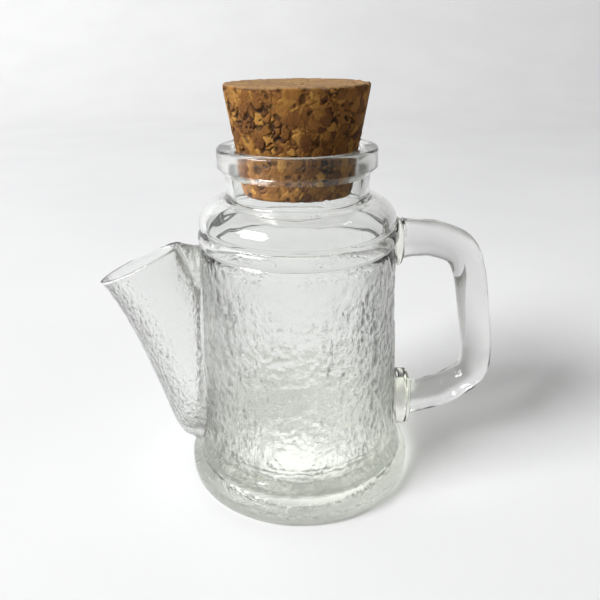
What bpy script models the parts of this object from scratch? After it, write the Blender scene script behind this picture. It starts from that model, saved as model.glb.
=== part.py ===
"""Clear glass oil bottle with a side spout, a rod handle and a tapered cork stopper.

Metres, +Z up. The origin is on the vessel's axis, on the plane that the foot ring stands on.
The spout points to -X and the handle to +X. The glass pieces are made apart and joined hot,
so each is a solid of its own, with a hairline gap to the piece that it is joined to.
"""

import math

import bmesh
import bpy
from mathutils import Vector

MM = 0.001

# Vessel, outside. Radii and heights in millimetres.
FOOT_RADIUS = 40.5
FOOT_EDGE_ROUND = 3.2
FOOT_SIDE_TOP = 6.2
RING_INNER_RADIUS = 30.0
KICK_UP_HEIGHT = 4.0
BODY_BOTTOM_RADIUS = 36.0
BODY_BOTTOM_Z = 15.0
BODY_TOP_RADIUS = 32.7
BODY_TOP_Z = 79.0
GROOVE_RADIUS = 31.8
BEAD_RADIUS = 32.6
BEAD_LOW_Z = 85.8
BEAD_HIGH_Z = 90.8
SHOULDER_RADIUS = 32.0
SHOULDER_CENTRE_RADIUS = 23.1
SHOULDER_SPRING_Z = 93.4
SHOULDER_TOP_Z = 100.6
NECK_RADIUS = 22.9
NECK_ROOT_ROUND = 1.5
COLLAR_LOW_Z = 108.4
COLLAR_RADIUS = 25.2
COLLAR_SIDE_LOW_Z = 110.8
COLLAR_SIDE_HIGH_Z = 114.4
RIM_Z = 116.6

# Vessel, inside.
BORE_RADIUS = 19.4
NECK_INNER_RADIUS = 20.0
WALL = 2.8
FLOOR_CENTRE_Z = 9.0
FLOOR_EDGE_Z = 10.5
FLOOR_ROUND = 6.0

# Port in the vessel's wall that feeds the spout.
PORT_Z = 43.0
PORT_HALF_WIDTH = 8.0
PORT_HALF_HEIGHT = 19.0

# Cork stopper.
CORK_TOP_RADIUS = 22.35
CORK_BOTTOM_RADIUS = 17.0
CORK_TOP_Z = 135.0
CORK_BOTTOM_Z = 102.7
CORK_EDGE = 0.5

# Handle rod: (x, z, radius) of each bend point of its centre line.
HANDLE_BENDS = (
    (34.6, 86.2, 6.2),
    (45.0, 85.8, 5.8),
    (54.0, 82.4, 5.5),
    (58.2, 74.0, 5.1),
    (61.0, 60.0, 5.0),
    (63.3, 46.0, 5.0),
    (62.5, 35.6, 5.4),
    (53.4, 28.4, 5.9),
    (40.5, 25.0, 6.5),
)
HANDLE_RESOLUTION = 5
HANDLE_SIDE_RESOLUTION = 2

# Handle pads: (x, half height, half width) of each section, out from the vessel.
UPPER_PAD_Z = 85.4
UPPER_PAD_SECTIONS = ((29.0, 9.4, 8.0), (33.0, 8.6, 7.4), (34.2, 7.0, 6.8))
LOWER_PAD_Z = 25.4
LOWER_PAD_SECTIONS = ((31.0, 10.8, 8.6), (37.4, 10.4, 7.8), (39.4, 10.0, 7.4), (40.1, 8.8, 6.8))
PAD_SQUARENESS = 2.8

# Spout sections, mouth to root end: outer point (x, z), inner point (x, z), half width.
SPOUT_SKIN = (
    ((-67.0, 72.0), (-39.4, 84.8), 9.4),
    ((-65.5, 69.2), (-31.0, 82.2), 9.8),
    ((-61.6, 62.4), (-28.5, 74.5), 10.8),
    ((-56.6, 51.0), (-25.5, 61.0), 12.6),
    ((-52.2, 38.6), (-22.5, 46.0), 14.2),
    ((-48.8, 26.0), (-23.0, 32.0), 12.6),
    ((-46.2, 16.6), (-27.0, 20.5), 9.4),
    ((-44.0, 12.0), (-30.0, 14.4), 6.4),
    ((-41.2, 9.4), (-33.5, 10.8), 3.0),
)
SPOUT_HOLLOW = (
    ((-66.2, 76.4), (-42.6, 87.6), 7.4),
    ((-64.9, 72.8), (-41.4, 83.8), 7.5),
    ((-60.0, 64.6), (-36.0, 74.0), 8.6),
    ((-54.6, 52.0), (-28.5, 60.0), 10.4),
    ((-50.2, 39.4), (-24.5, 45.6), 12.0),
    ((-46.8, 27.4), (-25.0, 32.4), 10.4),
    ((-44.2, 18.8), (-28.0, 21.8), 7.2),
    ((-41.8, 15.2), (-31.0, 17.0), 3.8),
)

SKIN_GAP = 0.45
LATHE_SIDES = 48
ARC_STEPS = 5
SPOUT_SIDES = 28
PAD_SIDES = 28
CUTTER_REACH = 12.0

GLASS_TINT = (0.93, 0.96, 0.94, 1.0)
CORK_TAN = (0.52, 0.33, 0.17, 1.0)


def clear_scene():
    """Removes every object, so that only this part is in the file."""
    for item in list(bpy.data.objects):
        bpy.data.objects.remove(item)


def material(name, colour, roughness, transmission=0.0):
    """A Principled material of one colour."""
    made = bpy.data.materials.new(name)
    made.use_nodes = True
    shader = made.node_tree.nodes["Principled BSDF"]
    shader.inputs["Base Color"].default_value = colour
    shader.inputs["Roughness"].default_value = roughness
    shader.inputs["Metallic"].default_value = 0.0
    shader.inputs["Transmission Weight"].default_value = transmission
    return made


def link(name, data, finish=None):
    """Puts data into the scene as an object of that name, with its material."""
    item = bpy.data.objects.new(name, data)
    bpy.context.scene.collection.objects.link(item)
    if finish:
        data.materials.append(finish)
    return item


def as_cutter(item):
    """Marks an object as a cutter, which isn't a piece of the part."""
    item.hide_render = True
    item.display_type = "WIRE"
    return item


def cut(item, cutter):
    """Takes the cutter away from the item."""
    boolean = item.modifiers.new("cut_" + cutter.name, "BOOLEAN")
    boolean.operation = "DIFFERENCE"
    boolean.solver = "EXACT"
    boolean.object = cutter
    return item


def arc(centre_r, centre_z, radius_r, radius_z, start, end, steps=ARC_STEPS):
    """Points along an elliptical arc, angles in degrees from the +r direction."""
    angles = [math.radians(start + (end - start) * i / steps) for i in range(steps + 1)]
    return [(centre_r + radius_r * math.cos(a), centre_z + radius_z * math.sin(a)) for a in angles]


def vessel_outside():
    """The vessel's outer side from the rim's crown down to the foot ring's outer edge."""
    rim_middle = (COLLAR_RADIUS + BORE_RADIUS) / 2
    lip = arc(rim_middle, COLLAR_SIDE_HIGH_Z, COLLAR_RADIUS - rim_middle, RIM_Z - COLLAR_SIDE_HIGH_Z, 90, 0)
    collar = [(COLLAR_RADIUS, COLLAR_SIDE_LOW_Z), (NECK_RADIUS, COLLAR_LOW_Z)]
    root = NECK_ROOT_ROUND
    neck_root = arc(NECK_RADIUS + root, SHOULDER_TOP_Z + root, root, root, 180, 250, 3)
    shoulder = arc(
        SHOULDER_CENTRE_RADIUS,
        SHOULDER_SPRING_Z,
        SHOULDER_RADIUS - SHOULDER_CENTRE_RADIUS,
        SHOULDER_TOP_Z - SHOULDER_SPRING_Z,
        80,
        0,
        7,
    )
    bead_middle = (BEAD_LOW_Z + BEAD_HIGH_Z) / 2
    bead = arc(GROOVE_RADIUS, bead_middle, BEAD_RADIUS - GROOVE_RADIUS, BEAD_HIGH_Z - bead_middle, 90, -90, 6)
    body = [
        (BODY_TOP_RADIUS, BODY_TOP_Z),
        (33.2, 67.0),
        (34.0, 53.0),
        (34.6, 36.0),
        (35.2, 24.0),
        (BODY_BOTTOM_RADIUS, BODY_BOTTOM_Z),
        (37.4, 11.6),
    ]
    foot_top = arc(
        FOOT_RADIUS - FOOT_EDGE_ROUND, FOOT_SIDE_TOP, FOOT_EDGE_ROUND, FOOT_EDGE_ROUND, 62, 0, 4
    )
    foot_edge = arc(
        FOOT_RADIUS - FOOT_EDGE_ROUND, FOOT_EDGE_ROUND, FOOT_EDGE_ROUND, FOOT_EDGE_ROUND, 0, -90
    )
    return lip + collar + neck_root + shoulder + bead + body + foot_top + foot_edge


def vessel_inside():
    """The vessel's hollow from the middle of its floor up to the bore's mouth."""
    floor_radius = BODY_BOTTOM_RADIUS - WALL - 1.2
    corner = arc(
        floor_radius - FLOOR_ROUND, FLOOR_EDGE_Z + FLOOR_ROUND, FLOOR_ROUND, FLOOR_ROUND, -90, 0
    )
    wall = [(BODY_TOP_RADIUS - WALL, BODY_TOP_Z), (SHOULDER_RADIUS - WALL, SHOULDER_SPRING_Z - 1.0)]
    shoulder = arc(
        NECK_INNER_RADIUS + 1.5,
        SHOULDER_SPRING_Z - 1.0,
        SHOULDER_RADIUS - WALL - NECK_INNER_RADIUS - 1.5,
        SHOULDER_TOP_Z - SHOULDER_SPRING_Z - 1.4,
        15,
        80,
        4,
    )
    neck = [(NECK_INNER_RADIUS, SHOULDER_TOP_Z), (NECK_INNER_RADIUS, COLLAR_LOW_Z + 1.0)]
    rim_middle = (COLLAR_RADIUS + BORE_RADIUS) / 2
    mouth = arc(
        rim_middle, COLLAR_SIDE_HIGH_Z, rim_middle - BORE_RADIUS, RIM_Z - COLLAR_SIDE_HIGH_Z, 180, 105, 4
    )
    bore_foot = [(BORE_RADIUS, COLLAR_SIDE_LOW_Z)]
    return [(0.0, FLOOR_CENTRE_Z)] + corner + wall + shoulder + neck + bore_foot + mouth


def vessel_underside():
    """The foot ring's flat and the pushed-up middle, in to the axis."""
    rise = [RING_INNER_RADIUS * share for share in (0.9, 0.7, 0.4)]
    dome = [(r, KICK_UP_HEIGHT * math.cos(math.pi / 2 * r / RING_INNER_RADIUS)) for r in rise]
    return [(RING_INNER_RADIUS, 0.0)] + dome + [(0.0, KICK_UP_HEIGHT)]


def lathe(name, outline, finish=None):
    """Turns an outline of (radius, height) in millimetres about the axis."""
    mesh = bpy.data.meshes.new(name)
    points = [(r * MM, 0.0, z * MM) for r, z in outline]
    mesh.from_pydata(points, [(i, i + 1) for i in range(len(points) - 1)], [])
    item = link(name, mesh, finish)
    screw = item.modifiers.new("turn", "SCREW")
    screw.steps = LATHE_SIDES
    screw.render_steps = LATHE_SIDES
    screw.use_merge_vertices = True
    screw.merge_threshold = 0.00001
    screw.use_smooth_shade = True
    return item


def loft(name, rings, finish=None):
    """A closed solid through rings of the same number of points."""
    mesh = bpy.data.meshes.new(name)
    bm = bmesh.new()
    loops = [[bm.verts.new(point) for point in ring] for ring in rings]
    sides = len(rings[0])
    for near, far in zip(loops, loops[1:]):
        for i in range(sides):
            j = (i + 1) % sides
            bm.faces.new((near[i], near[j], far[j], far[i]))
    bm.faces.new(list(reversed(loops[0])))
    bm.faces.new(loops[-1])
    bmesh.ops.recalc_face_normals(bm, faces=bm.faces)
    bm.to_mesh(mesh)
    bm.free()
    mesh.shade_smooth()
    mesh.set_sharp_from_angle(angle=math.radians(40))
    return link(name, mesh, finish)


def oval_ring(outer, inner, half_width):
    """A ring of the spout: an ellipse that stands on the line from outer to inner point."""
    outer_point = Vector((outer[0], 0.0, outer[1])) * MM
    inner_point = Vector((inner[0], 0.0, inner[1])) * MM
    centre = (outer_point + inner_point) / 2
    reach = (inner_point - outer_point) / 2
    side = Vector((0.0, half_width * MM, 0.0))
    turns = [2 * math.pi * i / SPOUT_SIDES for i in range(SPOUT_SIDES)]
    return [centre + reach * math.cos(t) + side * math.sin(t) for t in turns]


def pad_ring(x, middle_z, half_height, half_width):
    """A ring of a handle pad: a rounded rectangle that faces +X."""
    ring = []
    for i in range(PAD_SIDES):
        turn = 2 * math.pi * i / PAD_SIDES
        c, s = math.cos(turn), math.sin(turn)
        y = half_width * math.copysign(abs(c) ** (2 / PAD_SQUARENESS), c)
        z = half_height * math.copysign(abs(s) ** (2 / PAD_SQUARENESS), s)
        ring.append(Vector((x, y, middle_z + z)) * MM)
    return ring


def make_vessel(glass):
    """The bottle itself: foot, body, shoulder, neck and collar in one blown piece."""
    vessel = lathe("glass_vessel", vessel_inside() + vessel_outside() + vessel_underside(), glass)
    port = []
    for x in (-BODY_TOP_RADIUS - CUTTER_REACH, -BODY_TOP_RADIUS + CUTTER_REACH):
        port.append(pad_ring(x, PORT_Z, PORT_HALF_HEIGHT, PORT_HALF_WIDTH))
    return cut(vessel, as_cutter(loft("spout_port_cutter", port)))


def make_skin_cutter():
    """The vessel's outside grown by the gap, to trim what is joined to it."""
    grown = [(r + SKIN_GAP, z) for r, z in vessel_outside()]
    return as_cutter(lathe("vessel_skin_cutter", [(0.0, RIM_Z)] + grown + [(0.0, 0.0)]))


def make_spout(glass, skin_cutter):
    """The pouring spout: an oval cone, open at its mouth and along its root."""
    spout = loft("pouring_spout", [oval_ring(*section) for section in SPOUT_SKIN], glass)
    hollow = loft("spout_hollow_cutter", [oval_ring(*section) for section in SPOUT_HOLLOW])
    cut(spout, as_cutter(hollow))
    return cut(spout, skin_cutter)


def make_pad(name, middle_z, sections, glass, skin_cutter):
    """A gather of glass between the vessel's side and an end of the handle rod."""
    rings = [pad_ring(x, middle_z, height, width) for x, height, width in sections]
    return cut(loft(name, rings, glass), skin_cutter)


def make_handle(glass):
    """The handle: one solid rod, bent through its bend points."""
    curve = bpy.data.curves.new("handle_rod", "CURVE")
    curve.dimensions = "3D"
    curve.bevel_depth = MM
    curve.bevel_resolution = HANDLE_SIDE_RESOLUTION
    curve.resolution_u = HANDLE_RESOLUTION
    curve.render_resolution_u = HANDLE_RESOLUTION
    curve.use_fill_caps = True
    spline = curve.splines.new("BEZIER")
    spline.bezier_points.add(len(HANDLE_BENDS) - 1)
    for point, (x, z, radius) in zip(spline.bezier_points, HANDLE_BENDS):
        point.co = Vector((x, 0.0, z)) * MM
        point.radius = radius
        point.handle_left_type = "AUTO"
        point.handle_right_type = "AUTO"
    for end in (spline.bezier_points[0], spline.bezier_points[-1]):
        end.handle_left_type = "FREE"
        end.handle_right_type = "FREE"
        end.handle_left = end.co + Vector((-4.0, 0.0, 0.0)) * MM
        end.handle_right = end.co + Vector((4.0, 0.0, 0.0)) * MM
    last = spline.bezier_points[-1]
    last.handle_left, last.handle_right = last.handle_right.copy(), last.handle_left.copy()
    return link("handle_rod", curve, glass)


def make_cork(cork):
    """The tapered stopper of pressed cork granules, wedged in the bore's mouth."""
    outline = [
        (0.0, CORK_TOP_Z),
        (CORK_TOP_RADIUS - CORK_EDGE, CORK_TOP_Z),
        (CORK_TOP_RADIUS, CORK_TOP_Z - CORK_EDGE),
        (CORK_BOTTOM_RADIUS, CORK_BOTTOM_Z + CORK_EDGE),
        (CORK_BOTTOM_RADIUS - CORK_EDGE, CORK_BOTTOM_Z),
        (0.0, CORK_BOTTOM_Z),
    ]
    return lathe("cork_stopper", outline, cork)


def main():
    """Builds the bottle's pieces."""
    clear_scene()
    glass = material("clear_glass", GLASS_TINT, 0.03, transmission=1.0)
    cork = material("pressed_cork", CORK_TAN, 0.85)
    make_vessel(glass)
    skin_cutter = make_skin_cutter()
    make_spout(glass, skin_cutter)
    make_pad("handle_upper_pad", UPPER_PAD_Z, UPPER_PAD_SECTIONS, glass, skin_cutter)
    make_pad("handle_lower_pad", LOWER_PAD_Z, LOWER_PAD_SECTIONS, glass, skin_cutter)
    make_handle(glass)
    make_cork(cork)


main()
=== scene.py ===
"""Looks of a glass oil bottle: ice-relief glass, a worked rod handle and a pressed-cork stopper.

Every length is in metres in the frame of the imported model: +Z up, the spout towards -X, the
handle towards +X, and the origin on the vessel's axis at the plane that the foot stands on.
"""

import logging
import math
from dataclasses import dataclass, field
from enum import Enum
from typing import Any, Mapping, Optional, Sequence

import bmesh
import bpy
import numpy as np
from mathutils import Matrix, Vector, kdtree, noise


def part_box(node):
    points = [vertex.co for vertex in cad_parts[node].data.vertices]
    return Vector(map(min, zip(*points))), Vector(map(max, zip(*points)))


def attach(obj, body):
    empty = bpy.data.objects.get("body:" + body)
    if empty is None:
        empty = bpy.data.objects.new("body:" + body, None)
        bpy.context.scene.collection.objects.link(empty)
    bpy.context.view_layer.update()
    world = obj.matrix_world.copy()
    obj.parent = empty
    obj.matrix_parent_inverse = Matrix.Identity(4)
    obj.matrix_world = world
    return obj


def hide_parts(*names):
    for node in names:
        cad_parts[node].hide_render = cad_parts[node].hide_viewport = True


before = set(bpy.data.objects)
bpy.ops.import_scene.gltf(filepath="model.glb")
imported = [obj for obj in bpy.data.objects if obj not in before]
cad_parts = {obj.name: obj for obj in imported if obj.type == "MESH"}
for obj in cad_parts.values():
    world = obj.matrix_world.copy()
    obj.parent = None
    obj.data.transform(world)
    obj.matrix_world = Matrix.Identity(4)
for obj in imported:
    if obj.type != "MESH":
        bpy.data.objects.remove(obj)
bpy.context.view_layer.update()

MM = 0.001
# Without a seed the vector noise starts from the clock, and each run differs.
NOISE_SEED = 7
ROUNDING = 2.0 / 2.8
LOG = logging.getLogger("oil_bottle")

Pair = tuple[float, float]
Triple = tuple[float, float, float]


# ---------------------------------------------------------------- shader graphs


class Value:
    """A number in a shader graph, which adds Math nodes as Python expressions use it."""

    def __init__(self, graph: "Graph", socket: bpy.types.NodeSocket) -> None:
        """Wraps an output socket of the graph."""
        self.graph = graph
        self.socket = socket

    def _math(self, operation: str, first: Any, second: Any) -> "Value":
        """Returns the result of a Math node on two Values or numbers."""
        made = self.graph.add("ShaderNodeMath", {"operation": operation}, {0: first, 1: second})
        return Value(self.graph, made.outputs[0])

    def __add__(self, other: Any) -> "Value":
        """Returns self + other."""
        return self._math("ADD", self, other)

    def __radd__(self, other: Any) -> "Value":
        """Returns other + self."""
        return self._math("ADD", other, self)

    def __sub__(self, other: Any) -> "Value":
        """Returns self - other."""
        return self._math("SUBTRACT", self, other)

    def __rsub__(self, other: Any) -> "Value":
        """Returns other - self."""
        return self._math("SUBTRACT", other, self)

    def __mul__(self, other: Any) -> "Value":
        """Returns self * other."""
        return self._math("MULTIPLY", self, other)

    def __rmul__(self, other: Any) -> "Value":
        """Returns other * self."""
        return self._math("MULTIPLY", other, self)


class Graph:
    """A node tree that is filled through one method."""

    def __init__(self, tree: bpy.types.NodeTree) -> None:
        """Empties the tree."""
        self.tree = tree
        self.tree.nodes.clear()

    def add(
        self,
        kind: str,
        settings: Optional[Mapping[str, Any]] = None,
        sockets: Optional[Mapping[Any, Any]] = None,
    ) -> bpy.types.Node:
        """Adds a node.

        Args:
            kind: the node's type.
            settings: its own settings, set first; "stops" are a ramp's (position, colour) pairs.
            sockets: values or links for its inputs, by name or number.

        Returns:
            The node.
        """
        made = self.tree.nodes.new(kind)
        for name, value in (settings or {}).items():
            if name == "stops":
                self._set_stops(made.color_ramp, value)
            else:
                setattr(made, name, value)
        for key, value in (sockets or {}).items():
            socket = made.inputs[key]
            if isinstance(value, Value):
                value = value.socket
            if isinstance(value, bpy.types.NodeSocket):
                self.tree.links.new(value, socket)
            else:
                socket.default_value = value
        return made

    @staticmethod
    def _set_stops(ramp: bpy.types.ColorRamp, stops: Sequence[tuple[float, Triple]]) -> None:
        """Gives a ramp its stops.

        Args:
            ramp: the colour ramp.
            stops: pairs of position and colour.
        """
        while len(ramp.elements) < len(stops):
            ramp.elements.new(1.0)
        for element, (position, colour) in zip(ramp.elements, stops):
            element.position = position
            element.color = (*colour, 1.0)

    def value(self, node: bpy.types.Node, output: Any = 0) -> Value:
        """Returns a node's output as a Value."""
        return Value(self, node.outputs[output])

    def where(self) -> bpy.types.NodeSocket:
        """Returns the object's own coordinates."""
        return self.add("ShaderNodeTexCoord").outputs["Object"]

    def axes(self, vector: Any) -> tuple[Value, ...]:
        """Returns a vector's three numbers."""
        split = self.add("ShaderNodeSeparateXYZ", None, {0: vector})
        return tuple(self.value(split, name) for name in "XYZ")

    def vector(self, operation: str, first: Any, second: Triple = (0.0, 0.0, 0.0)) -> bpy.types.Node:
        """Adds a Vector Math node."""
        return self.add("ShaderNodeVectorMath", {"operation": operation}, {0: first, 1: second})

    def noise(self, size: float, detail: float, vector: Any, roughness: float = 0.5) -> Value:
        """Returns a noise of about 0.5, whose blots are as wide as its size in metres."""
        sockets = {"Vector": vector, "Scale": 1.0 / size, "Detail": detail, "Roughness": roughness}
        return self.value(self.add("ShaderNodeTexNoise", None, sockets))

    def remap(self, value: Any, span: Pair, to_low: float = 0.0, to_high: float = 1.0) -> Value:
        """Returns a value whose span is mapped smoothly to another, and which is level past it."""
        numbers = {0: value, 1: span[0], 2: span[1], 3: to_low, 4: to_high}
        return self.value(self.add("ShaderNodeMapRange", {"interpolation_type": "SMOOTHSTEP"}, numbers))

    def mix(self, factor: Any, first: Any, second: Any, blend: str = "MIX") -> bpy.types.NodeSocket:
        """Returns two colours mixed, with the factor's part of the second."""
        settings = {"data_type": "RGBA", "blend_type": blend}
        return self.add("ShaderNodeMix", settings, {0: factor, 6: first, 7: second}).outputs[2]

    def bump(self, height: Value, depth: float, strength: float, over: Any = None) -> bpy.types.NodeSocket:
        """Returns the normal that a height of that depth gives, over another normal if there is one."""
        sockets = {"Height": height, "Distance": depth, "Strength": strength}
        if over is not None:
            sockets["Normal"] = over
        return self.add("ShaderNodeBump", None, sockets).outputs["Normal"]

    def shader(self, sockets: Mapping[str, Any]) -> bpy.types.NodeSocket:
        """Returns a Principled shader."""
        return self.add("ShaderNodeBsdfPrincipled", None, sockets).outputs[0]

    def clear(self, colour: Triple = (1.0, 1.0, 1.0)) -> bpy.types.NodeSocket:
        """Returns a shader that light passes unbent, tinted by a colour."""
        return self.add("ShaderNodeBsdfTransparent", None, {"Color": (*colour, 1.0)}).outputs[0]

    def mix_shaders(self, factor: Any, first: Any, second: Any) -> bpy.types.NodeSocket:
        """Returns two shaders mixed, with the factor's part of the second."""
        return self.add("ShaderNodeMixShader", None, {0: factor, 1: first, 2: second}).outputs[0]

    def end(self, sockets: Mapping[str, Any]) -> None:
        """Joins the shaders to the material's output."""
        self.add("ShaderNodeOutputMaterial", None, sockets)


def new_material(name: str) -> tuple[bpy.types.Material, Graph]:
    """Returns a new material and its empty graph."""
    made = bpy.data.materials.new(name)
    made.use_nodes = True
    return made, Graph(made.node_tree)


# ---------------------------------------------------------------- finishes


class GlassSkin(Enum):
    """How the surface of a piece of glass was left."""

    ICE = "ice"
    WORKED = "worked"


@dataclass(frozen=True)
class ClearGlass:
    """Clear soda glass with a faint grey-green in its thick parts.

    The four shadow tints say how much of the lamp's light each part of the glass lets through:
    its side near the lamp, its far side, the thick foot, and the floor inside the foot.
    """

    skin: GlassSkin
    tint: Triple = (0.985, 0.99, 0.985)
    ior: float = 1.5
    depth_tint: Triple = (0.76, 0.78, 0.70)
    depth_density: float = 30.0
    near_shadow: Triple = (0.90, 0.90, 0.895)
    far_shadow: Triple = (0.15, 0.15, 0.145)
    foot_shadow: Triple = (0.15, 0.15, 0.145)
    floor_shadow: Triple = (0.92, 0.92, 0.92)
    foot_top: Pair = (0.0115, 0.0135)
    foot_inner: Pair = (0.029, 0.034)
    lamp_side: Triple = (-0.88, -0.48, 0.0)
    lamp_fade: Pair = (-0.016, 0.020)
    ice_low: Pair = (0.010, 0.014)
    ice_high: Pair = (0.072, 0.084)
    ice_grain: float = 0.0013
    ice_stretch: Triple = (1.0, 1.0, 0.6)
    ice_depth: float = 0.00056
    floor_edge: Pair = (0.026, 0.029)
    mark_edge: Pair = (0.0045, 0.0080)
    mark_grain: float = 3.0
    mark_haze_edge: Pair = (0.0040, 0.0080)
    mark_haze_top: Pair = (0.010, 0.012)
    mark_haze: float = 0.22
    foot_edge: Pair = (0.0372, 0.0384)
    foot_grain: float = 1.1
    collar_edge: Pair = (0.1085, 0.1105)
    collar_haze: float = 0.10
    smear_size: float = 0.019
    smear_haze: float = 0.035
    ripple_size: float = 0.011
    ripple_depth: float = 0.00035

    def material(self) -> bpy.types.Material:
        """Makes the material.

        Returns:
            A glass whose relief is a fine grain on ice skin and a slow ripple on worked skin.
        """
        made, graph = new_material(f"{self.skin.value}_glass")
        place = graph.where()
        height = graph.axes(place)[2]
        flat = graph.vector("MULTIPLY", place, (1.0, 1.0, 0.0)).outputs[0]
        radius = graph.value(graph.vector("LENGTH", flat), "Value")
        shader = graph.shader(
            {
                "Base Color": (*self.tint, 1.0),
                "Roughness": self._haze(graph, place, height, radius),
                "IOR": self.ior,
                "Transmission Weight": 1.0,
                "Normal": self._relief(graph, place, height, radius),
            }
        )
        lamp = graph.value(graph.add("ShaderNodeLightPath"), "Is Shadow Ray")
        passed = self._shadow(graph, place, height, radius)
        ends = {"Surface": graph.mix_shaders(lamp, shader, passed)}
        if self.skin is GlassSkin.ICE:
            depth = {"Color": (*self.depth_tint, 1.0), "Density": self.depth_density}
            ends["Volume"] = graph.add("ShaderNodeVolumeAbsorption", None, depth).outputs[0]
        graph.end(ends)
        return made

    def _relief(self, graph: Graph, place: Any, height: Value, radius: Value) -> bpy.types.NodeSocket:
        """Draws the relief that is too fine for the mesh.

        Args:
            graph: the material's graph.
            place: the object's coordinates.
            height: their height.
            radius: their distance from the axis.

        Returns:
            The normal.
        """
        normal = graph.bump(graph.noise(self.ripple_size, 1.0, place), self.ripple_depth, 0.6)
        if self.skin is GlassSkin.WORKED:
            return normal
        body = graph.remap(height, self.ice_low)
        foot = graph.remap(radius, self.floor_edge, 1.0, 0.0)
        foot = foot + graph.remap(radius, self.mark_edge, self.mark_grain, 0.0)
        foot = foot + graph.remap(radius, self.foot_edge, 0.0, self.foot_grain)
        share = body * graph.remap(height, self.ice_high, 1.0, 0.0) + foot * (1 - body)
        stretched = graph.vector("MULTIPLY", place, self.ice_stretch).outputs[0]
        grain = graph.noise(self.ice_grain, 3.0, stretched, 0.55) * share
        return graph.bump(grain, self.ice_depth, 1.0, normal)

    def _haze(self, graph: Graph, place: Any, height: Value, radius: Value) -> Value:
        """Draws smears, the hazy mark under the foot and the hazy collar.

        Args:
            graph: the material's graph.
            place: the object's coordinates.
            height: their height.
            radius: their distance from the axis.

        Returns:
            The roughness.
        """
        smear = graph.remap(graph.noise(self.smear_size, 3.0, place), (0.45, 0.75), 0.0, self.smear_haze)
        below = graph.remap(height, self.mark_haze_top, 1.0, 0.0)
        mark = graph.remap(radius, self.mark_haze_edge, self.mark_haze, 0.0) * below
        return smear + mark + graph.remap(height, self.collar_edge, 0.0, self.collar_haze)

    def _shadow(self, graph: Graph, place: Any, height: Value, radius: Value) -> bpy.types.NodeSocket:
        """Tints the light that passes on to what the bottle shades.

        Args:
            graph: the material's graph.
            place: the object's coordinates.
            height: their height.
            radius: their distance from the axis.

        Returns:
            The shader that shadows see.
        """
        outer = graph.remap(radius, self.foot_inner)
        foot = graph.mix_shaders(outer, graph.clear(self.floor_shadow), graph.clear(self.foot_shadow))
        side = graph.value(graph.vector("DOT_PRODUCT", place, self.lamp_side), "Value")
        near = graph.remap(side, self.lamp_fade)
        wall = graph.mix_shaders(near, graph.clear(self.far_shadow), graph.clear(self.near_shadow))
        return graph.mix_shaders(graph.remap(height, self.foot_top), foot, wall)


@dataclass(frozen=True)
class OpenJoint:
    """The faces inside a joint that was melted together, which nothing shows."""

    def material(self) -> bpy.types.Material:
        """Returns a material that light passes unbent."""
        made, graph = new_material("open_joint")
        graph.end({"Surface": graph.clear()})
        return made


@dataclass(frozen=True)
class PressedCork:
    """Agglomerated cork: tan granules of many sizes, dark gaps and a sawn top."""

    gap_brown: Triple = (0.014, 0.0045, 0.001)
    tans: tuple[tuple[float, Triple], ...] = (
        (0.00, (0.060, 0.017, 0.003)),
        (0.18, (0.115, 0.038, 0.006)),
        (0.40, (0.205, 0.080, 0.013)),
        (0.62, (0.300, 0.130, 0.022)),
        (0.82, (0.450, 0.225, 0.046)),
        (1.00, (0.190, 0.056, 0.012)),
    )
    sawn_tan: Triple = (0.46, 0.30, 0.15)
    streak_tan: Triple = (0.60, 0.56, 0.52)
    fine_size: float = 0.0006
    blot_size: float = 0.0035
    speck_size: float = 0.0011
    relief: float = 0.00035

    def material(self) -> bpy.types.Material:
        """Makes the material, which reads the granules that the stopper's mesh carries.

        Returns:
            A matt cork.
        """
        made, graph = new_material("pressed_cork")
        place = graph.where()
        names = ("granule_tone", "granule_gap", "granule_grain", "sawn")
        tone, gap, grain, sawn = (self._read(graph, name) for name in names)
        fine = graph.noise(self.fine_size, 4.0, place, 0.65)
        blots = graph.noise(self.blot_size, 3.0, place)
        shade = tone * 0.86 + (blots - 0.5) * 0.30 + (fine - 0.5) * 0.16 + 0.05
        ramp = graph.add("ShaderNodeValToRGB", {"stops": self.tans}, {0: shade})
        colour = graph.mix(sawn * 0.55, ramp.outputs[0], (*self.sawn_tan, 1.0))
        streak = graph.remap(grain, (0.35, 0.85)) * 0.30
        colour = graph.mix(streak, colour, (*self.streak_tan, 1.0), "MULTIPLY")
        speck = graph.remap(graph.noise(self.speck_size, 2.0, place, 0.7), (0.60, 0.70)) * 0.55
        dark = gap + speck - gap * speck
        sockets = {
            "Base Color": graph.mix(dark, colour, (*self.gap_brown, 1.0)),
            "Roughness": graph.remap(fine, (0.3, 0.7), 0.78, 0.95),
            "IOR": 1.42,
            "Normal": graph.bump(fine * 0.5 + blots * 0.5 - gap * 0.8, self.relief, 0.8),
        }
        graph.end({"Surface": graph.shader(sockets)})
        return made

    @staticmethod
    def _read(graph: Graph, name: str) -> Value:
        """Returns a number that the mesh carries at each point."""
        return graph.value(graph.add("ShaderNodeAttribute", {"attribute_name": name}), "Fac")


# ---------------------------------------------------------------- shapes


def arc(centre: Pair, radii: Pair, start: float, end: float, count: int = 24) -> np.ndarray:
    """Returns points (radius, height) along an elliptical arc, whose angles start outward in degrees."""
    turn = np.radians(np.linspace(start, end, count))
    return np.stack([centre[0] + radii[0] * np.cos(turn), centre[1] + radii[1] * np.sin(turn)], 1)


def around(columns: int) -> np.ndarray:
    """Returns that many angles, evenly round a circle."""
    return np.arange(columns) * 2 * math.pi / columns


def noise_at(points: np.ndarray, scale: float, shift: Triple = (0.0, 0.0, 0.0)) -> np.ndarray:
    """Returns the noise at each point, read at the scaled and shifted place."""
    values = [noise.noise(Vector(p) * scale + Vector(shift)) for p in points.reshape(-1, 3)]
    return np.array(values).reshape(points.shape[:-1])


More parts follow.
